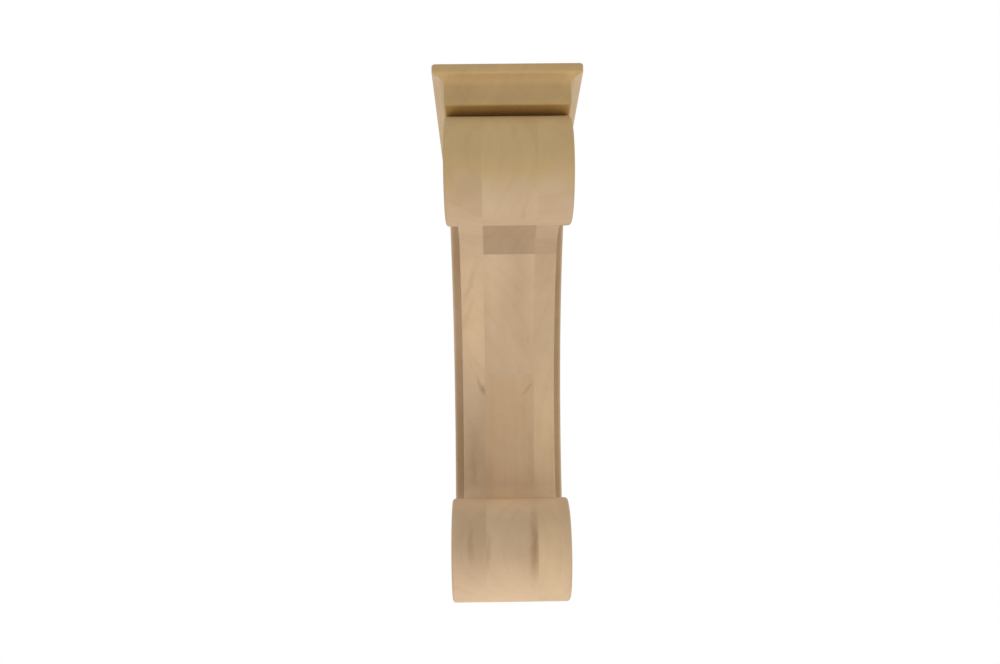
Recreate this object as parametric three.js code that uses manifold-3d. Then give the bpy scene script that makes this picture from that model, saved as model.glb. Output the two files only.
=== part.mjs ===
// A wooden scroll corbel: one glued-up block cut to a scroll, under a moulded cap board.
// Millimetres, +Z up. The back lies in the plane y = 0 against the wall, the front faces -Y,
// and the origin is in the middle of the back, halfway between the foot and the top.

import * as THREE from 'three';
import { mergeVertices } from 'three/addons/utils/BufferGeometryUtils.js';
import Module from 'manifold-3d';

const wasm = await Module();
wasm.setup();

// Block
const blockWidth = 89;
const blockHeight = 338.2;

// Upper roll, which touches the cap board from below. Its reach is from the wall to its centre.
const upperRollRadius = 38.5;
const upperRollReach = 215.9;

// Lower roll, which touches the plane of the foot
const lowerRollRadius = 39.2;
const lowerRollReach = 92;

// Concave sweep between the rolls: where it starts on the block's underside, behind the centre of
// the upper roll, the wood left between its deepest point and the wall, and the height of that
// point above the top of the lower roll
const sweepStart = 34.7;
const sweepWeb = 81;
const sweepSpring = 4.3;
const upperFilletRadius = 12;
const lowerFilletRadius = 12;

// Recess carved in each side beside the sweep. The lip is the step it leaves around each roll.
const recessDepth = 8.4;
const recessWidth = 47.4;
const recessLip = 0.5;

// Cap board, moulded along the front and both sides, with its fascia flush with the block's sides.
// Its setback is how far its front edge stays behind the front of the upper roll.
const capFilletHeight = 7.7;
const capCoveRadius = 8;
const capFasciaHeight = 12;
const capSetback = 4;

// How far a cutting solid runs past the face that it cuts, and the chords in each arc
const cutMargin = 5;
const arcChords = 40;

// Heights and centres in the side view, whose x is the part's Y and whose y is its Z
const capThickness = capFilletHeight + capCoveRadius + capFasciaHeight;
const footZ = -(blockHeight + capThickness) / 2;
const blockTopZ = footZ + blockHeight;
const capTopZ = blockTopZ + capThickness;
const upperRoll = new THREE.Vector2(-upperRollReach, blockTopZ - upperRollRadius);
const lowerRoll = new THREE.Vector2(-lowerRollReach, footZ + lowerRollRadius);
const undersideZ = upperRoll.y - upperRollRadius;

// The sweep is the arc through its start on the underside whose deepest point is the web's
const sweepZ = lowerRoll.y + lowerRollRadius + sweepSpring;
const sweepRun = upperRollReach - sweepStart - sweepWeb;
const sweepRise = undersideZ - sweepZ;
const sweepRadius = (sweepRun ** 2 + sweepRise ** 2) / (2 * sweepRun);
const sweep = new THREE.Vector2(-sweepWeb - sweepRadius, sweepZ);

// The direction from one point of the side view to another, as an angle
function bearing(from, to) {
  return Math.atan2(to.y - from.y, to.x - from.x);
}

// The point at a distance from a centre in a given direction
function polar(centre, radius, angle) {
  return new THREE.Vector2(centre.x + radius * Math.cos(angle), centre.y + radius * Math.sin(angle));
}

// The crossing of two circles on the left of the line from the first centre to the second
function circleCrossing(centreA, radiusA, centreB, radiusB) {
  const distance = centreA.distanceTo(centreB);
  const cosine = (radiusA ** 2 + distance ** 2 - radiusB ** 2) / (2 * radiusA * distance);
  return polar(centreA, radiusA, bearing(centreA, centreB) + Math.acos(cosine));
}

// A closed solid with the outline of a path in the side view, between two values of X
function sidePrism(path, fromX, toX) {
  const toPart = new THREE.Matrix4().makeBasis(
    new THREE.Vector3(0, 1, 0),
    new THREE.Vector3(0, 0, 1),
    new THREE.Vector3(1, 0, 0),
  );
  return prism(path, toX - fromX, toPart.setPosition(fromX, 0, 0));
}

// A closed solid with the outline of a path in the front view, from the wall out to a given reach
function frontPrism(path, reach) {
  const toPart = new THREE.Matrix4().makeBasis(
    new THREE.Vector3(1, 0, 0),
    new THREE.Vector3(0, 0, 1),
    new THREE.Vector3(0, -1, 0),
  );
  return prism(path, reach, toPart);
}

// The outline's points, without the doubles where one arc ends and the next begins, extruded
function prism(path, depth, toPart) {
  const points = path.getPoints(arcChords / 2);
  const outline = points.filter((point, i) => point.distanceTo(points.at(i - 1)) > 0.001);
  const geometry = new THREE.ExtrudeGeometry(new THREE.Shape(outline), { depth, bevelEnabled: false });
  geometry.applyMatrix4(toPart);
  geometry.deleteAttribute('normal');
  geometry.deleteAttribute('uv');
  const merged = mergeVertices(geometry);
  return new wasm.Manifold(new wasm.Mesh({
    numProp: 3,
    vertProperties: new Float32Array(merged.attributes.position.array),
    triVerts: new Uint32Array(merged.index.array),
  }));
}

// A named mesh with flat faces from a solid
function solidMesh(name, solid, material) {
  const { numProp, vertProperties, triVerts } = solid.getMesh();
  const positions = new Float32Array(triVerts.length * 3);
  triVerts.forEach((vertex, corner) => {
    for (let axis = 0; axis < 3; axis += 1) {
      positions[corner * 3 + axis] = vertProperties[vertex * numProp + axis];
    }
  });
  const geometry = new THREE.BufferGeometry();
  geometry.setAttribute('position', new THREE.BufferAttribute(positions, 3));
  geometry.computeVertexNormals();
  const mesh = new THREE.Mesh(geometry, material);
  mesh.name = name;
  return mesh;
}

// Side view of the block: up the wall, out along the top, round the upper roll, back along the
// underside, down the sweep, round the lower roll and back along the foot
function blockOutline() {
  const upperFilletZ = undersideZ - upperFilletRadius;
  const upperFilletRun = Math.sqrt((sweepRadius - upperFilletRadius) ** 2 - (upperFilletZ - sweep.y) ** 2);
  const upperFillet = new THREE.Vector2(sweep.x + upperFilletRun, upperFilletZ);
  const lowerFillet = circleCrossing(
    sweep,
    sweepRadius - lowerFilletRadius,
    lowerRoll,
    lowerRollRadius + lowerFilletRadius,
  );
  const sweepTop = bearing(sweep, upperFillet);
  const sweepFoot = bearing(sweep, lowerFillet);
  const rollTop = bearing(lowerRoll, lowerFillet);
  const { PI } = Math;

  const path = new THREE.Path();
  path.moveTo(0, footZ);
  path.lineTo(0, blockTopZ);
  path.lineTo(upperRoll.x, blockTopZ);
  path.absarc(upperRoll.x, upperRoll.y, upperRollRadius, PI / 2, 1.5 * PI, false);
  path.absarc(upperFillet.x, upperFillet.y, upperFilletRadius, PI / 2, sweepTop, true);
  path.absarc(sweep.x, sweep.y, sweepRadius, sweepTop, sweepFoot, true);
  path.absarc(lowerFillet.x, lowerFillet.y, lowerFilletRadius, sweepFoot, rollTop - PI, true);
  path.absarc(lowerRoll.x, lowerRoll.y, lowerRollRadius, rollTop, 1.5 * PI, false);
  return path;
}

// Side view of a recess before the rolls are left standing in it: a band that follows the sweep,
// open towards the front, with a round tail that touches the lower roll level with its centre
function recessOutline() {
  const backRadius = sweepRadius + recessWidth;
  const rollEdge = lowerRollRadius + recessLip;
  const tailAngle = Math.asin((lowerRoll.y - sweep.y) / backRadius);
  const tailEdge = polar(sweep, backRadius, tailAngle);
  const fromRoll = tailEdge.clone().sub(lowerRoll);
  const outward = polar(new THREE.Vector2(), 1, tailAngle);
  const tailRadius = (fromRoll.lengthSq() - rollEdge ** 2) / (2 * (fromRoll.dot(outward) + rollEdge));
  const tail = polar(sweep, backRadius - tailRadius, tailAngle);

  const path = new THREE.Path();
  path.moveTo(upperRoll.x, upperRoll.y);
  path.absarc(sweep.x, sweep.y, backRadius, bearing(sweep, upperRoll), tailAngle, true);
  path.absarc(tail.x, tail.y, tailRadius, tailAngle, bearing(tail, lowerRoll), true);
  path.lineTo(lowerRoll.x, lowerRoll.y);
  path.lineTo(upperRoll.x, lowerRoll.y);
  return path;
}

// The disc that a recess leaves standing round a roll, between two values of X
function rollDisc(centre, radius, fromX, toX) {
  const path = new THREE.Path();
  path.absarc(centre.x, centre.y, radius + recessLip, 0, 2 * Math.PI, false);
  return sidePrism(path, fromX, toX);
}

// The block, with the recess cut from both sides and the rolls left at the full width
function scrollBlock() {
  const side = blockWidth / 2;
  const floor = side - recessDepth;
  const outside = side + cutMargin;
  const upperDisc = rollDisc(upperRoll, upperRollRadius, -outside, outside);
  const lowerDisc = rollDisc(lowerRoll, lowerRollRadius, -outside, outside);
  const right = sidePrism(recessOutline(), floor, outside);
  const left = sidePrism(recessOutline(), -outside, -floor);
  const recesses = right.add(left).subtract(upperDisc).subtract(lowerDisc);
  return sidePrism(blockOutline(), -side, side).subtract(recesses);
}

// A board's section, moulded along one edge: a plain fascia, a quarter-round cove that turns
// outward, and a square fillet. It runs from a plain edge at one value to the moulded one.
function mouldedSection(plainEdge, mouldedEdge) {
  const outward = Math.sign(mouldedEdge - plainEdge);
  const coveZ = blockTopZ + capFasciaHeight;
  const path = new THREE.Path();
  path.moveTo(plainEdge, capTopZ);
  path.lineTo(plainEdge, blockTopZ);
  path.lineTo(mouldedEdge - outward * capCoveRadius, blockTopZ);
  path.absarc(mouldedEdge, coveZ, capCoveRadius, outward > 0 ? Math.PI : 0, Math.PI / 2, outward > 0);
  path.lineTo(mouldedEdge, capTopZ);
  return path;
}

// The cap board is the wood common to three such boards, moulded along the front, the right and
// the left, which mitres the moulding at both corners
function capBoard() {
  const reach = upperRollReach + upperRollRadius - capSetback;
  const side = blockWidth / 2 + capCoveRadius;
  const front = sidePrism(mouldedSection(0, -reach), -side - cutMargin, side + cutMargin);
  const right = frontPrism(mouldedSection(-side - cutMargin, side), reach + cutMargin);
  const left = frontPrism(mouldedSection(side + cutMargin, -side), reach + cutMargin);
  return front.intersect(right).intersect(left);
}

const maple = new THREE.MeshStandardMaterial({ color: 0xdcc39a, roughness: 0.75, metalness: 0 });
const capMaple = new THREE.MeshStandardMaterial({ color: 0xd2b688, roughness: 0.75, metalness: 0 });

const corbel = new THREE.Group();
corbel.add(solidMesh('scroll_body', scrollBlock(), maple));
corbel.add(solidMesh('cap_board', capBoard(), capMaple));

export default corbel;
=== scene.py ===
# A maple scroll corbel, sanded and unfinished: a block glued up from boards and sawn to an S,
# with a moulded cap board glued on top. It hangs on a wall by its flat back.
# Metres, +Z up; the wall is the plane y = 0 behind it and the front faces -Y.

import cmath
import math

import bmesh
import bpy
from mathutils import Matrix, Vector


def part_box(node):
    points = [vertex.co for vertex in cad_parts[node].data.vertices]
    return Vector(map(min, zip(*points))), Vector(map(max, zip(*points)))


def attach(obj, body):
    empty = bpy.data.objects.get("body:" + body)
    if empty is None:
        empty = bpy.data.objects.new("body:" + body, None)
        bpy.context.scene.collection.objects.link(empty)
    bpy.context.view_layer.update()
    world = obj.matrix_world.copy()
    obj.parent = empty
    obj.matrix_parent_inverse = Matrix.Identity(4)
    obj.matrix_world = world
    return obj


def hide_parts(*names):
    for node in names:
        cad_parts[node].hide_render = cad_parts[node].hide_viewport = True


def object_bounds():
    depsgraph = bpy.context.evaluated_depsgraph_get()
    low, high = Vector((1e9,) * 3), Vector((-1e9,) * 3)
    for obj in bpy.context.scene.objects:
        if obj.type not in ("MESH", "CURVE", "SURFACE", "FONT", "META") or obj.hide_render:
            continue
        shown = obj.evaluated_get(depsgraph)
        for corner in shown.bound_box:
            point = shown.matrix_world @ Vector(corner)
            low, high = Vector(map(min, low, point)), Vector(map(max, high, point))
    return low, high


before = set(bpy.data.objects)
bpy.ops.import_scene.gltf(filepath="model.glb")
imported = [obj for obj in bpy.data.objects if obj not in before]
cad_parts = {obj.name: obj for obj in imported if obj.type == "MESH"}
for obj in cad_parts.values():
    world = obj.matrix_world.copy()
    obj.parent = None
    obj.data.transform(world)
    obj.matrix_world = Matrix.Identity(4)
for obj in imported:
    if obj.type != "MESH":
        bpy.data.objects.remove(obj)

solid_low, solid_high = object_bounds()


# The viewpoint: a little left of the middle and near the foot, looking up at the cap
VIEW_FROM = Vector((-0.01324, -0.88189, -0.15317))
VIEW_UP = math.radians(12.95)
VIEW_TO_RIGHT = math.radians(0.514)
VIEW_ROLL = math.radians(-0.775)

camera = bpy.data.objects.new("viewpoint", bpy.data.cameras.new("viewpoint"))
camera.data.sensor_width = 36
camera.data.lens = 36
camera.data.clip_start = 0.02
aim = Matrix.Rotation(-VIEW_TO_RIGHT, 4, "Z")
aim @= Matrix.Rotation(math.pi / 2 + VIEW_UP, 4, "X")
aim @= Matrix.Rotation(VIEW_ROLL, 4, "Z")
camera.matrix_world = Matrix.Translation(VIEW_FROM) @ aim
bpy.context.collection.objects.link(camera)
bpy.context.scene.camera = camera


# The scroll block: maple boards glued face to face and edge to edge, bandsawn and sanded to a roll
# under the cap, a hollow sweep and a roll at the foot. A router has taken a recess out of each
# side along the sweep, which leaves a web between two cheeks, and the rolls at the full width.
UPPER_ROLL_RADIUS = 0.0385
LOWER_ROLL_RADIUS = 0.0392
LOWER_ROLL_REACH = 0.092
SWEEP_START = 0.0347
SWEEP_WEB = 0.081
SWEEP_SPRING = 0.0043
FILLET_RADIUS = 0.012
RECESS_DEPTH = 0.0084
RECESS_WIDTH = 0.0474
WEB_EASE = 0.0012
CHEEK_EASE = 0.0024

# How finely curves are divided: the angle of a chord in an arc, in the wide arcs of the sweep and in
# the small one of a recess's tail, the share of a chord that is too short to add as a last one, and
# the count in an eased arris
ARC_CHORD = math.radians(2.5)
SWEEP_CHORD = math.radians(1.0)
TAIL_CHORD = 3 * ARC_CHORD
SLIVER = 0.01
ARRIS_CHORDS = 5

# Nearer than this, two points are one. A turn past the second value is an edge and not a curve.
TOUCHING = 1e-6
SHARP_FROM = math.radians(35)

# The side view is worked out in complex numbers, y + z * 1j. Each point of an outline goes with
# the direction into the wood, along which its arris is eased. Under the cap board, the ease of the
# upper roll's rim grows from nothing over its first few points.
QUARTER = math.pi / 2
WOOD_INSIDE = -1
WOOD_OUTSIDE = 1
RIM_FADE = 10

block_low, block_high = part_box("scroll_body")
upper_roll = complex(block_low.y + UPPER_ROLL_RADIUS, block_high.z - UPPER_ROLL_RADIUS)
lower_roll = complex(-LOWER_ROLL_REACH, block_low.z + LOWER_ROLL_RADIUS)
underside = upper_roll.imag - UPPER_ROLL_RADIUS
sweep_height = lower_roll.imag + LOWER_ROLL_RADIUS + SWEEP_SPRING
sweep_run = -upper_roll.real - SWEEP_START - SWEEP_WEB
sweep_radius = (sweep_run ** 2 + (underside - sweep_height) ** 2) / (2 * sweep_run)
sweep = complex(-SWEEP_WEB - sweep_radius, sweep_height)
recess_radius = sweep_radius + RECESS_WIDTH
recess_floor = block_high.x - RECESS_DEPTH


def bearing(start, end):
    """The direction from one point of the side view to another."""
    return cmath.phase(end - start)


def crossing(centre_a, radius_a, centre_b, radius_b, side):
    """Where two circles cross, left (1) or right (-1) of the line from the first to the second."""
    gap = abs(centre_b - centre_a)
    cosine = (radius_a ** 2 + gap ** 2 - radius_b ** 2) / (2 * radius_a * gap)
    return centre_a + cmath.rect(radius_a, bearing(centre_a, centre_b) + side * math.acos(cosine))


def rim(centre, radius, start, end, turn, wood, chord=ARC_CHORD):
    """Points along an arc that turns anticlockwise (1) or clockwise (-1) from one bearing to another,
    whose wood lies inside or outside the circle. Only the last chord may be a short one."""
    angle = (turn * (end - start)) % math.tau
    steps = math.ceil(angle / chord - SLIVER)
    spokes = [cmath.rect(1, start + turn * min(chord * i, angle)) for i in range(steps + 1)]
    return [(centre + radius * spoke, wood * spoke) for spoke in spokes]


def fade(points, first, last):
    """Scales the directions into the wood evenly from one share of the ease to another."""
    span = len(points) - 1
    return [(point, into * (first + (last - first) * i / span)) for i, (point, into) in enumerate(points)]


def join_arcs(points):
    """Keeps one of each pair of points that coincide, with the mitre of their two directions."""
    joined = []
    for point, into in points:
        if joined and abs(point - joined[-1][0]) < TOUCHING:
            before = joined.pop()[1]
            into = (before + into) / (1 + (before * into.conjugate()).real)
        joined.append((point, into))
    return joined


def web_outline():
    """Up the wall, out along the top, round the upper roll, down the sweep, round the lower roll.
    Only the sweep's arris is eased, because the cheeks cover the rest."""
    fillet_drop = underside - FILLET_RADIUS - sweep.imag
    fillet_run = math.sqrt((sweep_radius - FILLET_RADIUS) ** 2 - fillet_drop ** 2)
    upper_fillet = complex(sweep.real + fillet_run, underside - FILLET_RADIUS)
    reach = LOWER_ROLL_RADIUS + FILLET_RADIUS
    lower_fillet = crossing(sweep, sweep_radius - FILLET_RADIUS, lower_roll, reach, 1)
    sweep_top = bearing(sweep, upper_fillet)
    sweep_foot = bearing(sweep, lower_fillet)
    roll_top = bearing(lower_roll, lower_fillet)
    touch = bearing(lower_fillet, lower_roll)
    points = [(complex(0, block_low.z), 0j), (complex(0, block_high.z), 0j)]
    points += fade(rim(upper_roll, UPPER_ROLL_RADIUS, QUARTER, -QUARTER, 1, WOOD_INSIDE), 0, 0)
    points += rim(upper_fillet, FILLET_RADIUS, QUARTER, sweep_top, -1, WOOD_OUTSIDE)
    points += rim(sweep, sweep_radius, sweep_top, sweep_foot, -1, WOOD_OUTSIDE, SWEEP_CHORD)
    points += fade(rim(lower_fillet, FILLET_RADIUS, sweep_foot, touch, -1, WOOD_OUTSIDE), 1, 0)
    points += fade(rim(lower_roll, LOWER_ROLL_RADIUS, -QUARTER, roll_top, -1, WOOD_INSIDE), 0, 0)[::-1]
    return join_arcs(points)


def cheek_outline():
    """Up the wall, out along the top, right round the upper roll to the recess's narrow end, down the
    back of the recess, round its tail, and round the lower roll to the foot."""
    horn = crossing(sweep, recess_radius, upper_roll, UPPER_ROLL_RADIUS, -1)
    tail_angle = math.asin((lower_roll.imag - sweep.imag) / recess_radius)
    outward = cmath.rect(1, tail_angle)
    to_edge = sweep + recess_radius * outward - lower_roll
    along = (to_edge * outward.conjugate()).real
    tail_radius = (abs(to_edge) ** 2 - LOWER_ROLL_RADIUS ** 2) / (2 * (along + LOWER_ROLL_RADIUS))
    tail = sweep + (recess_radius - tail_radius) * outward
    to_horn = bearing(upper_roll, horn)
    from_tail = bearing(lower_roll, tail)
    disc = rim(upper_roll, UPPER_ROLL_RADIUS, QUARTER, to_horn, 1, WOOD_INSIDE)
    points = [(complex(0, block_low.z), 1j), (complex(0, block_high.z), 0j)]
    points += fade(disc[:RIM_FADE], 0, 1) + disc[RIM_FADE:]
    points += rim(sweep, recess_radius, bearing(sweep, horn), tail_angle, -1, WOOD_OUTSIDE, SWEEP_CHORD)
    points += rim(tail, tail_radius, tail_angle, bearing(tail, lower_roll), -1, WOOD_OUTSIDE, TAIL_CHORD)
    points += rim(lower_roll, LOWER_ROLL_RADIUS, -QUARTER, from_tail, -1, WOOD_INSIDE)[::-1]
    return join_arcs(points)


def add_node(tree, kind, inputs=None, **settings):
    """Adds a node to a tree with its settings, and fills or links its inputs."""
    node = tree.nodes.new(kind)
    for name, value in settings.items():
        setattr(node, name, value)
    for name, value in (inputs or {}).items():
        if isinstance(value, bpy.types.NodeSocket):
            tree.links.new(value, node.inputs[name])
        else:
            node.inputs[name].default_value = value
    return node


def add_sockets(tree, sockets):
    """Gives a node group its named inputs and outputs."""
    for name, in_out, kind in sockets:
        tree.interface.new_socket(name=name, in_out=in_out, socket_type=kind)


def arithmetic(tree, operation, first, second=0.0):
    """The result of one sum on numbers or sockets."""
    inputs = {0: first, 1: second}
    return add_node(tree, "ShaderNodeMath", inputs, operation=operation).outputs[0]


def vector_math(tree, operation, inputs):
    """The result of one operation on vectors."""
    return add_node(tree, "ShaderNodeVectorMath", inputs, operation=operation).outputs[0]


def measure(tree, operation, inputs):
    """The number that one operation on vectors gives."""
    return add_node(tree, "ShaderNodeVectorMath", inputs, operation=operation).outputs["Value"]


def pick(tree, kind, values):
    """The value from a list that goes with the index of the point at hand."""
    node = add_node(tree, "GeometryNodeIndexSwitch", data_type=kind)
    for _ in values[2:]:
        node.index_switch_items.new()
    index = add_node(tree, "GeometryNodeInputIndex").outputs[0]
    tree.links.new(index, node.inputs["Index"])
    for i, value in enumerate(values):
        if isinstance(value, bpy.types.NodeSocket):
            tree.links.new(value, node.inputs[i + 1])
        else:
            node.inputs[i + 1].default_value = value
    return node.outputs[0]


def add_profile(tree, corners):
    """A curve through corners, each with its inset, its height and the radius that rounds it."""
    line = add_node(tree, "GeometryNodeCurvePrimitiveLine").outputs[0]
    points = add_node(tree, "GeometryNodeResampleCurve", {"Curve": line, "Count": len(corners)}).outputs[0]
    places = []
    for inset, height, _ in corners:
        places.append(add_node(tree, "ShaderNodeCombineXYZ", {"X": inset, "Y": height}).outputs[0])
    place_inputs = {"Geometry": points, "Position": pick(tree, "VECTOR", places)}
    placed = add_node(tree, "GeometryNodeSetPosition", place_inputs).outputs[0]
    radii = pick(tree, "FLOAT", [radius for _, _, radius in corners])
    round_inputs = {"Curve": placed, "Radius": radii, "Limit Radius": True, "Count": ARRIS_CHORDS}
    return add_node(tree, "GeometryNodeFilletCurve", round_inputs, mode="POLY").outputs[0]


def make_loft_group():
    """Carries the face of an outline along a profile, and closes it behind. Each point moves along
    the axis by the profile's height and into the wood by its inset."""
    tree = bpy.data.node_groups.new("outline along profile", "GeometryNodeTree")
    add_sockets(tree, (
        ("Outline", "INPUT", "NodeSocketGeometry"),
        ("Profile", "INPUT", "NodeSocketGeometry"),
        ("Axis", "INPUT", "NodeSocketVector"),
        ("Solid", "OUTPUT", "NodeSocketGeometry"),
    ))
    given = add_node(tree, "NodeGroupInput").outputs
    named = {"data_type": "FLOAT_VECTOR"}
    into = add_node(tree, "GeometryNodeInputNamedAttribute", {"Name": "into"}, **named).outputs[0]
    rest = add_node(tree, "GeometryNodeInputNamedAttribute", {"Name": "rest"}, **named).outputs[0]
    place = add_node(tree, "GeometryNodeInputPosition").outputs[0]
    count_inputs = {"Geometry": given["Profile"]}
    counted = add_node(tree, "GeometryNodeAttributeDomainSize", count_inputs, component="CURVE")
    rings = counted.outputs["Point Count"]

    def at_ring(ring):
        """The places of the outline's points on one ring of the profile."""
        sample_inputs = {"Geometry": given["Profile"], "Value": place, "Index": ring}
        sample = add_node(tree, "GeometryNodeSampleIndex", sample_inputs, **named).outputs[0]
        corner = add_node(tree, "ShaderNodeSeparateXYZ", {0: sample}).outputs
        inset = vector_math(tree, "SCALE", {0: into, "Scale": corner["X"]})
        height = vector_math(tree, "SCALE", {0: given["Axis"], "Scale": corner["Y"]})
        return vector_math(tree, "ADD", {0: rest, 1: vector_math(tree, "ADD", {0: inset, 1: height})})

    first_inputs = {"Geometry": given["Outline"], "Position": at_ring(0)}
    first = add_node(tree, "GeometryNodeSetPosition", first_inputs).outputs[0]
    start = tree.nodes.new("GeometryNodeRepeatInput")
    stop = tree.nodes.new("GeometryNodeRepeatOutput")
    start.pair_with_output(stop)
    stop.repeat_items.new("BOOLEAN", "Front")
    tree.links.new(arithmetic(tree, "SUBTRACT", rings, 1), start.inputs["Iterations"])
    tree.links.new(first, start.inputs["Geometry"])
    start.inputs["Front"].default_value = True
    extrude_inputs = {
        "Mesh": start.outputs["Geometry"],
        "Selection": start.outputs["Front"],
        "Offset Scale": 0.0,
        "Individual": False,
    }
    extruded = add_node(tree, "GeometryNodeExtrudeMesh", extrude_inputs, mode="FACES").outputs
    place_inputs = {
        "Geometry": extruded["Mesh"],
        "Selection": extruded["Top"],
        "Position": at_ring(arithmetic(tree, "ADD", start.outputs["Iteration"], 1)),
    }
    placed = add_node(tree, "GeometryNodeSetPosition", place_inputs).outputs[0]
    tree.links.new(placed, stop.inputs["Geometry"])
    tree.links.new(extruded["Top"], stop.inputs["Front"])
    behind = add_node(tree, "GeometryNodeFlipFaces", {"Mesh": first}).outputs[0]
    closed = add_node(tree, "GeometryNodeJoinGeometry", {"Geometry": stop.outputs["Geometry"]})
    tree.links.new(behind, closed.inputs["Geometry"])
    merge_inputs = {"Geometry": closed.outputs[0], "Distance": TOUCHING}
    merged = add_node(tree, "GeometryNodeMergeByDistance", merge_inputs).outputs[0]
    add_node(tree, "NodeGroupOutput", {"Solid": merged})
    return tree


loft = make_loft_group()


def make_board_tree(name, sizes, find_corners):
    """A tree with named sizes that carries an outline along the profile worked out from them."""
    tree = bpy.data.node_groups.new(name, "GeometryNodeTree")
    add_sockets(tree, [("Outline", "INPUT", "NodeSocketGeometry")])
    add_sockets(tree, [(size, "INPUT", "NodeSocketFloat") for size in sizes])
    add_sockets(tree, (
        ("Axis", "INPUT", "NodeSocketVector"),
        ("Material", "INPUT", "NodeSocketMaterial"),
        ("Board", "OUTPUT", "NodeSocketGeometry"),
    ))
    given = add_node(tree, "NodeGroupInput").outputs
    profile = add_profile(tree, find_corners(tree, given))
    loft_inputs = {"Outline": given["Outline"], "Profile": profile, "Axis": given["Axis"]}
    solid = add_node(tree, "GeometryNodeGroup", loft_inputs, node_tree=loft).outputs[0]
    real = add_node(tree, "GeometryNodeRealizeInstances", {"Geometry": solid}).outputs[0]
    finish_inputs = {"Geometry": real, "Material": given["Material"]}
    finished = add_node(tree, "GeometryNodeSetMaterial", finish_inputs).outputs[0]
    add_node(tree, "NodeGroupOutput", {"Board": finished})
    return tree


def web_corners(tree, given):
    """The section across the web: square, with both arrises eased."""
    half, ease = given["Half width"], given["Ease"]
    other = arithmetic(tree, "MULTIPLY", half, -1)
    return [(ease, other, 0), (0, other, ease), (0, half, ease), (ease, half, 0)]


def cheek_corners(tree, given):
    """The section through a cheek, from the web to its eased outer arris."""
    outer, ease = given["Outer face"], given["Ease"]
    return [(0, given["Inner face"], 0), (0, outer, ease), (ease, outer, 0)]


def finish_shape(piece):
    """Applies a piece's modifiers to its mesh."""
    bpy.context.view_layer.update()
    evaluated = piece.evaluated_get(bpy.context.evaluated_depsgraph_get())
    mesh = bpy.data.meshes.new_from_object(evaluated)
    piece.modifiers.clear()
    piece.data = mesh


def work_outline(name, outline, plane, tree, sizes):
    """Runs a tree on the face of an outline, laid in a plane, and keeps the outcome as a plain mesh."""
    vectors = {
        "rest": [plane(point) for point, _ in outline],
        "into": [plane(into) for _, into in outline],
    }
    face = bpy.data.meshes.new(name)
    face.from_pydata(vectors["rest"], [], [range(len(outline))])
    for attribute, values in vectors.items():
        flat = [number for vector in values for number in vector]
        face.attributes.new(attribute, "FLOAT_VECTOR", "POINT").data.foreach_set("vector", flat)
    piece = bpy.data.objects.new(name, face)
    bpy.context.collection.objects.link(piece)
    work = piece.modifiers.new("work", "NODES")
    work.node_group = tree
    for socket in tree.interface.items_tree:
        if socket.name in sizes:
            work[socket.identifier] = sizes[socket.name]
    finish_shape(piece)
    for attribute in vectors:
        piece.data.attributes.remove(piece.data.attributes[attribute])
    shape = bmesh.new()
    shape.from_mesh(piece.data)
    bmesh.ops.recalc_face_normals(shape, faces=shape.faces)
    shape.to_mesh(piece.data)
    shape.free()
    return piece


def smooth_curves(piece):
    """Shades a piece's rounds as curves and keeps its flats flat."""
    piece.data.shade_smooth()
    piece.data.set_sharp_from_angle(angle=SHARP_FROM)
    flats = piece.modifiers.new("flats", "WEIGHTED_NORMAL")
    flats.keep_sharp = True
    finish_shape(piece)


def scaled_noise(tree, place, stretch, scale, detail):
    """Noise with a frequency per metre, stretched by a factor along each axis."""
    squeezed = vector_math(tree, "MULTIPLY", {0: place, 1: stretch})
    inputs = {"Vector": squeezed, "Scale": scale, "Detail": detail, "Roughness": 0.55}
    return add_node(tree, "ShaderNodeTexNoise", inputs).outputs[0]


def weigh(tree, value, middle, weight, base):
    """Adds a value's distance from its middle, times a weight, to a base."""
    centred = arithmetic(tree, "SUBTRACT", value, middle)
    inputs = {0: centred, 1: weight, 2: base}
    return add_node(tree, "ShaderNodeMath", inputs, operation="MULTIPLY_ADD").outputs[0]


def blend_colours(tree, share, first, second, mode="MIX"):
    """Mixes two colours by a share. The node takes them in sockets 6 and 7 and gives one in socket 2."""
    inputs = {0: share, 6: first, 7: second}
    return add_node(tree, "ShaderNodeMix", inputs, data_type="RGBA", blend_type=mode).outputs[2]


# What each unit of a board's number does to its grain: how far it is shifted, and by what angle it
# is turned. The curl in the figure leans against the grain.
GRAIN_SHIFT = {"X": 0.137, "Y": 0.271, "Z": 0.613}
GRAIN_TURN = 1.7
CURL_LEAN = (0.3, 0.45, 0)

# What a mark of strength 1 takes from each colour where it darkens, and adds where it pales
DARKENING = (0.36, 0.44, 0.54, 1)
PALING = (0.48, 0.45, 0.38, 1)


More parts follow.
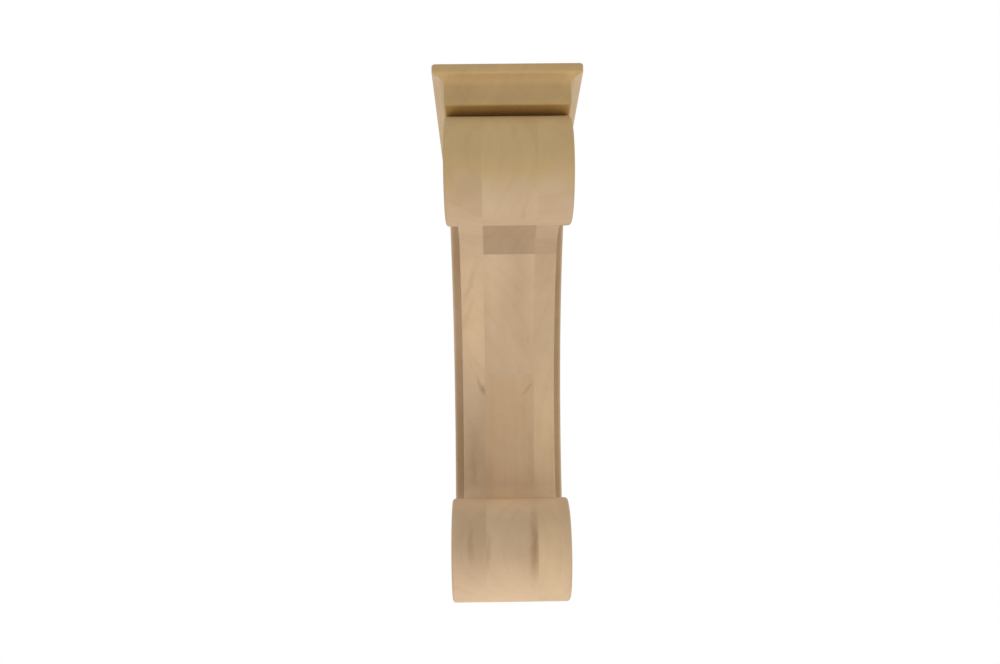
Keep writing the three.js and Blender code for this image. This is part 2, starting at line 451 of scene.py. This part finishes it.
def make_maple_group():
    """The figure of sanded maple, whose grain runs along Z of the place it is given. A mark above
    zero darkens the wood and one below zero pales it."""
    tree = bpy.data.node_groups.new("maple figure", "ShaderNodeTree")
    add_sockets(tree, (
        ("Place", "INPUT", "NodeSocketVector"),
        ("Board", "INPUT", "NodeSocketFloat"),
        ("Tint", "INPUT", "NodeSocketColor"),
        ("Marks", "INPUT", "NodeSocketFloat"),
        ("Pale wood", "INPUT", "NodeSocketColor"),
        ("Dark wood", "INPUT", "NodeSocketColor"),
        ("Colour", "OUTPUT", "NodeSocketColor"),
        ("Roughness", "OUTPUT", "NodeSocketFloat"),
        ("Height", "OUTPUT", "NodeSocketFloat"),
    ))
    given = add_node(tree, "NodeGroupInput").outputs
    step = add_node(tree, "ShaderNodeCombineXYZ", GRAIN_SHIFT).outputs[0]
    shift = vector_math(tree, "SCALE", {0: step, "Scale": given["Board"]})
    turn = arithmetic(tree, "MULTIPLY", given["Board"], GRAIN_TURN)
    turn_inputs = {"Vector": given["Place"], "Angle": turn}
    turned = add_node(tree, "ShaderNodeVectorRotate", turn_inputs, rotation_type="Z_AXIS").outputs[0]
    place = vector_math(tree, "ADD", {0: turned, 1: shift})
    lean_inputs = {"Vector": place, "Rotation": CURL_LEAN}
    leaning = add_node(tree, "ShaderNodeMapping", lean_inputs).outputs[0]

    clouds = scaled_noise(tree, place, stretch=(1, 1, 0.4), scale=24, detail=2)
    curl = scaled_noise(tree, leaning, stretch=(1, 1, 0.35), scale=70, detail=2)
    streaks = scaled_noise(tree, place, stretch=(1, 1, 0.06), scale=120, detail=2)
    ring_inputs = {
        "Vector": vector_math(tree, "MULTIPLY", {0: place, 1: (1, 1, 0.12)}),
        "Scale": 34,
        "Distortion": 5,
        "Detail": 2,
        "Detail Scale": 0.6,
    }
    ring_kind = {"wave_type": "RINGS", "rings_direction": "Z", "wave_profile": "SAW"}
    rings = add_node(tree, "ShaderNodeTexWave", ring_inputs, **ring_kind).outputs["Fac"]
    fibres = scaled_noise(tree, place, stretch=(1, 1, 0.03), scale=1100, detail=3)
    pores = scaled_noise(tree, place, stretch=(1, 1, 0.15), scale=1600, detail=1)

    share = weigh(tree, clouds, middle=0.5, weight=1.1, base=0.45)
    share = weigh(tree, curl, middle=0.5, weight=0.7, base=share)
    share = weigh(tree, fibres, middle=0.5, weight=0.4, base=share)
    share = add_node(tree, "ShaderNodeClamp", {"Value": share}).outputs[0]
    colour = blend_colours(tree, share, given["Pale wood"], given["Dark wood"])
    streak_inputs = {"Value": streaks, "From Min": 0.62, "From Max": 0.85, "To Max": 0.22}
    streak = add_node(tree, "ShaderNodeMapRange", streak_inputs, interpolation_type="SMOOTHSTEP").outputs[0]
    pore_inputs = {"Value": pores, "From Min": 0.64, "From Max": 0.8, "To Max": 0.25}
    pore = add_node(tree, "ShaderNodeMapRange", pore_inputs).outputs[0]
    late_inputs = {"Value": rings, "From Min": 0.6, "To Max": 0.07}
    late_wood = add_node(tree, "ShaderNodeMapRange", late_inputs).outputs[0]
    darkness = given["Marks"]
    for trait in (streak, pore, late_wood):
        darkness = arithmetic(tree, "ADD", darkness, trait)
    darker = arithmetic(tree, "GREATER_THAN", darkness, 0.0)
    rate = blend_colours(tree, darker, PALING, DARKENING)
    loss = vector_math(tree, "SCALE", {0: rate, "Scale": darkness})
    kept = vector_math(tree, "SUBTRACT", {0: (1, 1, 1), 1: loss})
    marked = vector_math(tree, "MULTIPLY", {0: colour, 1: kept})

    results = {
        "Colour": vector_math(tree, "MULTIPLY", {0: marked, 1: given["Tint"]}),
        "Roughness": weigh(tree, fibres, middle=0.5, weight=0.25, base=0.62),
        "Height": weigh(tree, pore, middle=0, weight=-0.6, base=fibres),
    }
    add_node(tree, "NodeGroupOutput", results)
    return tree


maple_figure = make_maple_group()


def finish_wood(tree, inputs):
    """Ends a wood material's tree with the figure, a fine bump and the shader."""
    figure = add_node(tree, "ShaderNodeGroup", inputs, node_tree=maple_figure)
    bump_inputs = {"Height": figure.outputs["Height"], "Strength": 0.2, "Distance": 0.0002}
    bump = add_node(tree, "ShaderNodeBump", bump_inputs)
    shader_inputs = {
        "Base Color": figure.outputs["Colour"],
        "Roughness": figure.outputs["Roughness"],
        "Normal": bump.outputs["Normal"],
        "IOR": 1.45,
        "Specular IOR Level": 0.3,
    }
    shader = add_node(tree, "ShaderNodeBsdfPrincipled", shader_inputs)
    add_node(tree, "ShaderNodeOutputMaterial", {"Surface": shader.outputs["BSDF"]})


# Sapwood at its palest and its darkest
PALE_SAPWOOD = (0.70, 0.502, 0.321, 1)
DARK_SAPWOOD = (0.60, 0.414, 0.246, 1)

# The yellow tone at the top of the front: the heights where it begins and is full, how much they
# waver, and how far back it goes
YELLOWED = (0.975, 0.955, 0.73, 1)
YELLOW_FROM = 0.082
YELLOW_TO = 0.110
YELLOW_WAVER = 0.03
YELLOW_DEPTH = -0.2115

# Yellow and marks begin to show on a surface that faces the front by the first share, and show in
# full by the second
FRONT_FROM = 0.05
FRONT_FULL = 0.35

# The back of a recess, painted darker as shade because the web and the cheek hide it from the light: how
# much
#  it is darkened, how near a point has to be to count as on it, and the share by which the surface there has
#  to face the sweep's centre
RECESS_PAINTED_SHADE = 0.34
ROUTED_REACH = 0.0012
ROUTED_FACING = 0.9

# Marks reach through the whole depth, are gone at this many half widths and half lengths from their
# centre, and waver by these lengths
MARK_DEPTH = 10
MARK_END = 1.6
MARK_WAVER = (0.004, 0, 0.008)

# The three plies across the width, parted by the glue lines. Each has its boards from the front to
# the wall, with the place where a board starts, its colour against the palest wood, and its number
# as a share of the highest, and its marks: across, up, half width, half length, lean in degrees and
# strength.
GLUE_LINES = (-0.0185, 0.0198)
BOARD_NUMBERS = 10
PLIES = (
    {
        "boards": ((-0.2544, (0.83, 0.83, 0.83), 0.1), (-0.060, (0.80, 0.80, 0.80), 0.5)),
        "marks": (
            (-0.0275, 0.1400, 0.0200, 0.0170, 0, -0.16),
            (-0.0275, 0.0880, 0.0170, 0.0130, 0, 0.20),
            (-0.0275, 0.0270, 0.0180, 0.0440, 0, -0.46),
            (-0.0275, -0.0680, 0.0170, 0.0300, 0, 0.36),
            (-0.0275, -0.1080, 0.0200, 0.0100, 0, -0.42),
            (-0.0275, -0.1420, 0.0170, 0.0260, 0, 0.24),
            (-0.0206, -0.0190, 0.0018, 0.0085, -28, 0.80),
            (-0.0285, 0.0540, 0.0020, 0.0130, 24, 0.30),
            (-0.0320, 0.0330, 0.0020, 0.0110, 26, 0.24),
            (-0.0285, -0.0800, 0.0030, 0.0200, 0, 0.26),
            (-0.0302, -0.1400, 0.0022, 0.0120, 0, 0.34),
        ),
    },
    {
        "boards": (
            (-0.2544, (0.83, 0.83, 0.83), 0.23),
            (-0.2115, (0.635, 0.61, 0.60), 0.6),
            (-0.1697, (0.86, 0.86, 0.85), 0.3),
            (-0.1029, (0.86, 0.83, 0.78), 0.8),
        ),
        "marks": (
            (0.0000, 0.1400, 0.0300, 0.0170, 0, -0.16),
            (0.0000, -0.1080, 0.0300, 0.0100, 0, -0.42),
            (0.0000, -0.1480, 0.0300, 0.0100, 0, 0.12),
            (0.0090, 0.0430, 0.0070, 0.0400, -4, 0.16),
            (-0.0115, 0.0450, 0.0060, 0.0330, 0, -0.14),
            (0.0150, -0.0190, 0.0013, 0.0060, 40, 0.45),
            (-0.0165, -0.0850, 0.0030, 0.0200, 0, 0.22),
            (0.0170, -0.0850, 0.0030, 0.0150, 0, 0.24),
            (-0.0176, -0.1460, 0.0022, 0.0130, 3, 0.34),
            (0.0168, -0.1410, 0.0034, 0.0230, 1, 0.78),
            (0.0090, 0.0800, 0.0020, 0.0120, 30, 0.14),
        ),
    },
    {
        "boards": (
            (-0.2544, (0.83, 0.83, 0.83), 0.9),
            (-0.2115, (0.74, 0.725, 0.71), 0.7),
            (-0.1697, (0.82, 0.82, 0.79), 0.4),
        ),
        "marks": (
            (0.0280, 0.1400, 0.0200, 0.0170, 0, -0.16),
            (0.0300, 0.0720, 0.0130, 0.0200, -38, 0.22),
            (0.0280, -0.0500, 0.0170, 0.0500, 0, -0.44),
            (0.0280, -0.1080, 0.0200, 0.0100, 0, -0.42),
            (0.0280, -0.1420, 0.0170, 0.0280, 0, -0.34),
        ),
    },
)


def board_ramp(tree, depth_share, boards, depth):
    """The colour of the board at a share of the block's depth, and the share of its number as alpha."""
    ramp = add_node(tree, "ShaderNodeValToRGB", {"Fac": depth_share})
    ramp.color_ramp.interpolation = "CONSTANT"
    elements = ramp.color_ramp.elements
    elements.remove(elements[-1])
    elements[0].color = (*boards[0][1], boards[0][2])
    for start, colour, number in boards[1:]:
        elements.new(1 + start / depth).color = (*colour, number)
    return ramp.outputs


def add_marks(tree, place, marks):
    """The strength of a ply's marks, each an ellipse in the front view that fades at its edge."""
    total = 0.0
    for across, up, half_width, half_length, lean, strength in marks:
        fit_inputs = {
            "Vector": place,
            "Location": (across, 0, up),
            "Rotation": (0, math.radians(lean), 0),
            "Scale": (half_width, MARK_DEPTH, half_length),
        }
        fitted = add_node(tree, "ShaderNodeMapping", fit_inputs, vector_type="TEXTURE").outputs[0]
        away = measure(tree, "LENGTH", {0: fitted})
        fade_inputs = {"Value": away, "From Min": MARK_END, "From Max": 0.0, "To Max": strength}
        faded = add_node(tree, "ShaderNodeMapRange", fade_inputs, interpolation_type="SMOOTHSTEP").outputs[0]
        total = arithmetic(tree, "ADD", faded, total)
    return total


def step_up(tree, value, low, high):
    """A share that rises smoothly from 0 to 1 between two values."""
    inputs = {"Value": value, "From Min": low, "From Max": high}
    return add_node(tree, "ShaderNodeMapRange", inputs, interpolation_type="SMOOTHSTEP").outputs[0]


def make_block_wood():
    """Sapwood maple glued up in three plies. The front is yellow at the top and has marks, and the
    back of each recess is darkened with painted shade."""
    material = bpy.data.materials.new("maple glue-up")
    material.use_nodes = True
    tree = material.node_tree
    tree.nodes.clear()
    place = add_node(tree, "ShaderNodeTexCoord").outputs["Object"]
    axes = add_node(tree, "ShaderNodeSeparateXYZ", {0: place}).outputs
    depth = -block_low.y
    depth_share = weigh(tree, axes["Y"], middle=0, weight=1 / depth, base=1.0)

    waver_inputs = {"Vector": place, "Scale": 140, "Detail": 2}
    waver = add_node(tree, "ShaderNodeTexNoise", waver_inputs).outputs["Color"]
    bend = vector_math(tree, "SUBTRACT", {0: waver, 1: (0.5, 0.5, 0.5)})
    bent = vector_math(tree, "MULTIPLY_ADD", {0: bend, 1: MARK_WAVER, 2: place})

    ply = PLIES[0]
    board = board_ramp(tree, depth_share, ply["boards"], depth)
    colour, number, marks = board["Color"], board["Alpha"], add_marks(tree, bent, ply["marks"])
    for glue_line, ply in zip(GLUE_LINES, PLIES[1:]):
        past = arithmetic(tree, "GREATER_THAN", axes["X"], glue_line)
        board = board_ramp(tree, depth_share, ply["boards"], depth)
        colour = blend_colours(tree, past, colour, board["Color"])
        number_inputs = {0: past, 2: number, 3: board["Alpha"]}
        number = add_node(tree, "ShaderNodeMix", number_inputs).outputs[0]
        mark_inputs = {0: past, 2: marks, 3: add_marks(tree, bent, ply["marks"])}
        marks = add_node(tree, "ShaderNodeMix", mark_inputs).outputs[0]

    facing = add_node(tree, "ShaderNodeNewGeometry").outputs["Normal"]
    forward = measure(tree, "DOT_PRODUCT", {0: facing, 1: (0, -1, 0)})
    front = step_up(tree, forward, FRONT_FROM, FRONT_FULL)
    patches = scaled_noise(tree, place, stretch=(1, 1, 1), scale=45, detail=1)
    level = weigh(tree, patches, middle=0.5, weight=YELLOW_WAVER, base=axes["Z"])
    yellow = step_up(tree, level, YELLOW_FROM, YELLOW_TO)
    front_board = arithmetic(tree, "LESS_THAN", axes["Y"], YELLOW_DEPTH)
    yellow = arithmetic(tree, "MULTIPLY", arithmetic(tree, "MULTIPLY", yellow, front_board), front)
    yellowed = blend_colours(tree, yellow, (1, 1, 1, 1), YELLOWED)
    tint = blend_colours(tree, 1.0, colour, yellowed, "MULTIPLY")

    # Painted shade: the back of each recess, which the web and the cheek shade, is darkened through the
    # marks
    from_centre = vector_math(tree, "SUBTRACT", {0: place, 1: (0, sweep.real, sweep.imag)})
    side_view = vector_math(tree, "MULTIPLY", {0: from_centre, 1: (0, 1, 1)})
    away = measure(tree, "LENGTH", {0: side_view})
    wall_inputs = {0: away, 1: recess_radius, 2: ROUTED_REACH}
    on_wall = add_node(tree, "ShaderNodeMath", wall_inputs, operation="COMPARE").outputs[0]
    outward = measure(tree, "DOT_PRODUCT", {0: facing, 1: side_view})
    inward = arithmetic(tree, "LESS_THAN", outward, -ROUTED_FACING * recess_radius)
    painted_recess_shade = arithmetic(tree, "MULTIPLY", arithmetic(tree, "MULTIPLY", on_wall, inward), RECESS_PAINTED_SHADE)
    marks = arithmetic(tree, "MULTIPLY", marks, front)

    finish_wood(tree, {
        "Place": place,
        "Board": arithmetic(tree, "MULTIPLY", number, BOARD_NUMBERS),
        "Tint": tint,
        "Marks": arithmetic(tree, "ADD", marks, painted_recess_shade),
        "Pale wood": PALE_SAPWOOD,
        "Dark wood": DARK_SAPWOOD,
    })
    return material


def side_plane(point):
    """A point of the side view in the plane of symmetry."""
    return (0, point.real, point.imag)


block_wood = make_block_wood()
web_tree = make_board_tree("web", ("Half width", "Ease"), web_corners)
cheek_tree = make_board_tree("cheek", ("Inner face", "Outer face", "Ease"), cheek_corners)
web_sizes = {"Half width": recess_floor, "Ease": WEB_EASE, "Axis": (1, 0, 0), "Material": block_wood}
block = work_outline("scroll_block", web_outline(), side_plane, web_tree, web_sizes)
for side in (-1, 1):
    cheek_sizes = {
        "Inner face": recess_floor,
        "Outer face": block_high.x,
        "Ease": CHEEK_EASE,
        "Axis": (side, 0, 0),
        "Material": block_wood,
    }
    cheek = work_outline("cheek", cheek_outline(), side_plane, cheek_tree, cheek_sizes)
    join = block.modifiers.new("join", "BOOLEAN")
    join.operation = "UNION"
    join.solver = "EXACT"
    join.object = cheek
    finish_shape(block)
    bpy.data.objects.remove(cheek)
smooth_curves(block)
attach(block, "root")
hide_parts("scroll_body")


# The cap board: one piece of maple with its grain running out from the wall, moulded along the
# front and both sides with a plain fascia, a cove and a square fillet, mitred at the corners, and
# glued on top of the block with the fascia flush with the block's sides.
COVE_RADIUS = 0.008
FASCIA_HEIGHT = 0.012
CAP_EASE = 0.0018
CORNER_CHORD = QUARTER / 4
PALE_CAP = (0.62, 0.485, 0.325, 1)
DARK_CAP = (0.51, 0.385, 0.245, 1)
# The end grain's own tone across the front, which the upright faces of the sides also take as painted shade
END_GRAIN_AND_SIDE_SHADE = (0.905, 0.79, 0.55, 1)
# Painted shade on the underside that hangs over the roll, where the roll hides it from the light
UNDERSIDE_PAINTED_SHADE = (0.86, 0.68, 0.34, 1)
CAP_NUMBER = 4.0

# How much of the end grain's tone the upright faces of the sides take as painted shade, so that the cove's
#  down-facing returns look lit, the width over which the tone changes past a mitre, and the height up to
#  which wood counts as the underside
SIDE_PAINTED_SHADE = 0.65
MITRE_BLUR = 0.001
UNDERSIDE_BAND = 0.0004

# Painted light and shade along the moulding, given as the block's marks are: pale bands on the top of the
# cove,
#  which lies in its own shade, and a darker band on the fascia, where the roll shades it
CAP_PAINTED_SHADING = (
    (0, 0.1754, 1, 0.0008, 0, -0.16),
    (0, 0.1739, 1, 0.0035, 0, -0.22),
    (0, 0.1604, 1, 0.0060, 0, 0.18),
)

cap_low, cap_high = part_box("cap_board")


def cap_outline():
    """The plan of the fillet, x + y * 1j: square at the wall, with its front corners eased. Each point
    goes with its direction into the wood, which is mitred at the front corners."""
    centre = complex(cap_high.x - CAP_EASE, cap_low.y + CAP_EASE)
    corner = rim(centre, CAP_EASE, -QUARTER, 0, 1, WOOD_INSIDE, CORNER_CHORD)
    right = [(point, -1 + 1j) for point, _ in corner]
    left = [(-point.conjugate(), 1 + 1j) for point, _ in reversed(right)]
    return left + right + [(complex(cap_high.x, 0), -1 + 0j), (complex(-cap_high.x, 0), 1 + 0j)]


def cap_corners(tree, given):
    """The section of the moulding, from the underside up the fascia, cove and fillet to the top."""
    low, top, cove, ease = given["Underside"], given["Top"], given["Cove radius"], given["Ease"]
    soffit = arithmetic(tree, "ADD", low, arithmetic(tree, "ADD", given["Fascia height"], cove))
    hollow = arithmetic(tree, "SUBTRACT", cove, ease)
    within = arithmetic(tree, "ADD", cove, ease)
    return [
        (within, low, 0),
        (cove, low, ease),
        (cove, soffit, hollow),
        (0, soffit, ease),
        (0, top, ease),
        (ease, top, 0),
    ]


def make_cap_wood():
    """Maple with its grain along Y. The moulding is darker and yellower across the front, which cuts
    the grain. The upright faces of the sides take some of that tone as painted shade, the underside that
    hangs over the roll is painted dark as shade, and bands along the moulding carry painted light and shade."""
    material = bpy.data.materials.new("maple board")
    material.use_nodes = True
    tree = material.node_tree
    tree.nodes.clear()
    place = add_node(tree, "ShaderNodeTexCoord").outputs["Object"]
    turn_inputs = {"Vector": place, "Rotation": (QUARTER, 0, 0)}
    along_grain = add_node(tree, "ShaderNodeMapping", turn_inputs).outputs[0]
    axes = add_node(tree, "ShaderNodeSeparateXYZ", {0: place}).outputs
    facing = add_node(tree, "ShaderNodeNewGeometry").outputs["Normal"]
    faced = add_node(tree, "ShaderNodeSeparateXYZ", {0: facing}).outputs
    across = arithmetic(tree, "ADD", arithmetic(tree, "ABSOLUTE", axes["X"]), axes["Y"])
    mitre = cap_high.x + cap_low.y
    past_mitre = step_up(tree, across, mitre, mitre + MITRE_BLUR)
    # Painted shade on the sides: their upright faces take part of the end grain's tone, so the cove's
    # down-facing returns look lit
    upright = step_up(tree, arithmetic(tree, "ABSOLUTE", faced["X"]), low=0.3, high=0.8)
    along = weigh(tree, upright, middle=0.0, weight=-SIDE_PAINTED_SHADE, base=1.0)
    unshaded_long_grain = arithmetic(tree, "MULTIPLY", past_mitre, along)
    unshaded_long_grain = arithmetic(tree, "MAXIMUM", unshaded_long_grain, step_up(tree, faced["Z"], low=0.4, high=0.8))
    tint = blend_colours(tree, unshaded_long_grain, END_GRAIN_AND_SIDE_SHADE, (1, 1, 1, 1))
    # Painted shade: the underside over the roll is darkened where the roll shades it
    beneath = arithmetic(tree, "LESS_THAN", axes["Z"], cap_low.z + UNDERSIDE_BAND)
    tint = blend_colours(tree, beneath, tint, UNDERSIDE_PAINTED_SHADE)
    finish_wood(tree, {
        "Place": along_grain,
        "Board": CAP_NUMBER,
        "Tint": tint,
        # Painted light on the top of the cove and painted shade on the fascia
        "Marks": add_marks(tree, place, CAP_PAINTED_SHADING),
        "Pale wood": PALE_CAP,
        "Dark wood": DARK_CAP,
    })
    return material


def plan_plane(point):
    """A point of the plan at height 0."""
    return (point.real, point.imag, 0)


cap_tree_sizes = ("Underside", "Top", "Fascia height", "Cove radius", "Ease")
cap_tree = make_board_tree("moulded board", cap_tree_sizes, cap_corners)
cap_sizes = {
    "Underside": cap_low.z,
    "Top": cap_high.z,
    "Fascia height": FASCIA_HEIGHT,
    "Cove radius": COVE_RADIUS,
    "Ease": CAP_EASE,
    "Axis": (0, 0, 1),
    "Material": make_cap_wood(),
}
cap = work_outline("cap_moulding", cap_outline(), plan_plane, cap_tree, cap_sizes)
smooth_curves(cap)
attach(cap, "root")
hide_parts("cap_board")


# The studio: a white surround, a pale floor that glows a little far below the corbel, and three
# soft lamps under it, one close below and a weak one low at each side, so that the surfaces that
# face down are the brightest
FLOOR_DROP = 0.35
FLOOR_HALF = 2.4
FLOOR_GLOW = 0.285
SURROUND_SEEN = 1.0
SURROUND_LIGHT = 0.74

# Each lamp's name, place, side and power in watts
LIGHTS = (
    ("below", (0.0, -0.16, -0.48), 0.25, 0.34),
    ("low_left", (-0.6, -0.3, -0.4), 0.3, 0.12),
    ("low_right", (0.6, -0.3, -0.4), 0.3, 0.25),
)

floor_z = block_low.z - FLOOR_DROP
floor_mesh = bpy.data.meshes.new("floor")
floor_corners = [(x * FLOOR_HALF, y * FLOOR_HALF, floor_z) for x, y in ((-1, -1), (1, -1), (1, 1), (-1, 1))]
floor_mesh.from_pydata(floor_corners, [], [(0, 1, 2, 3)])
floor = bpy.data.objects.new("floor", floor_mesh)
bpy.context.collection.objects.link(floor)
floor_paint = bpy.data.materials.new("pale floor")
floor_paint.use_nodes = True
floor_shader = floor_paint.node_tree.nodes["Principled BSDF"]
floor_shader.inputs["Base Color"].default_value = (0.9, 0.9, 0.9, 1)
floor_shader.inputs["Roughness"].default_value = 0.9
floor_shader.inputs["Emission Color"].default_value = (1, 1, 1, 1)
floor_shader.inputs["Emission Strength"].default_value = FLOOR_GLOW
floor_mesh.materials.append(floor_paint)

world = bpy.data.worlds.new("surround")
world.use_nodes = True
sky = world.node_tree
background = sky.nodes["Background"]
background.inputs["Color"].default_value = (1, 1, 1, 1)
seen = add_node(sky, "ShaderNodeLightPath").outputs["Is Camera Ray"]
surround_inputs = {"Value": seen, "To Min": SURROUND_LIGHT, "To Max": SURROUND_SEEN}
surround = add_node(sky, "ShaderNodeMapRange", surround_inputs)
sky.links.new(surround.outputs[0], background.inputs["Strength"])
bpy.context.scene.world = world

middle = Vector((0, solid_low.y / 2, 0))
for name, place, size, power in LIGHTS:
    lamp = bpy.data.lights.new(name, "AREA")
    lamp.shape = "SQUARE"
    lamp.size = size
    lamp.energy = power
    lamp_object = bpy.data.objects.new(name, lamp)
    aim = (middle - Vector(place)).to_track_quat("-Z", "Y").to_matrix().to_4x4()
    lamp_object.matrix_world = Matrix.Translation(place) @ aim
    bpy.context.collection.objects.link(lamp_object)

bpy.context.scene.view_settings.view_transform = "Standard"
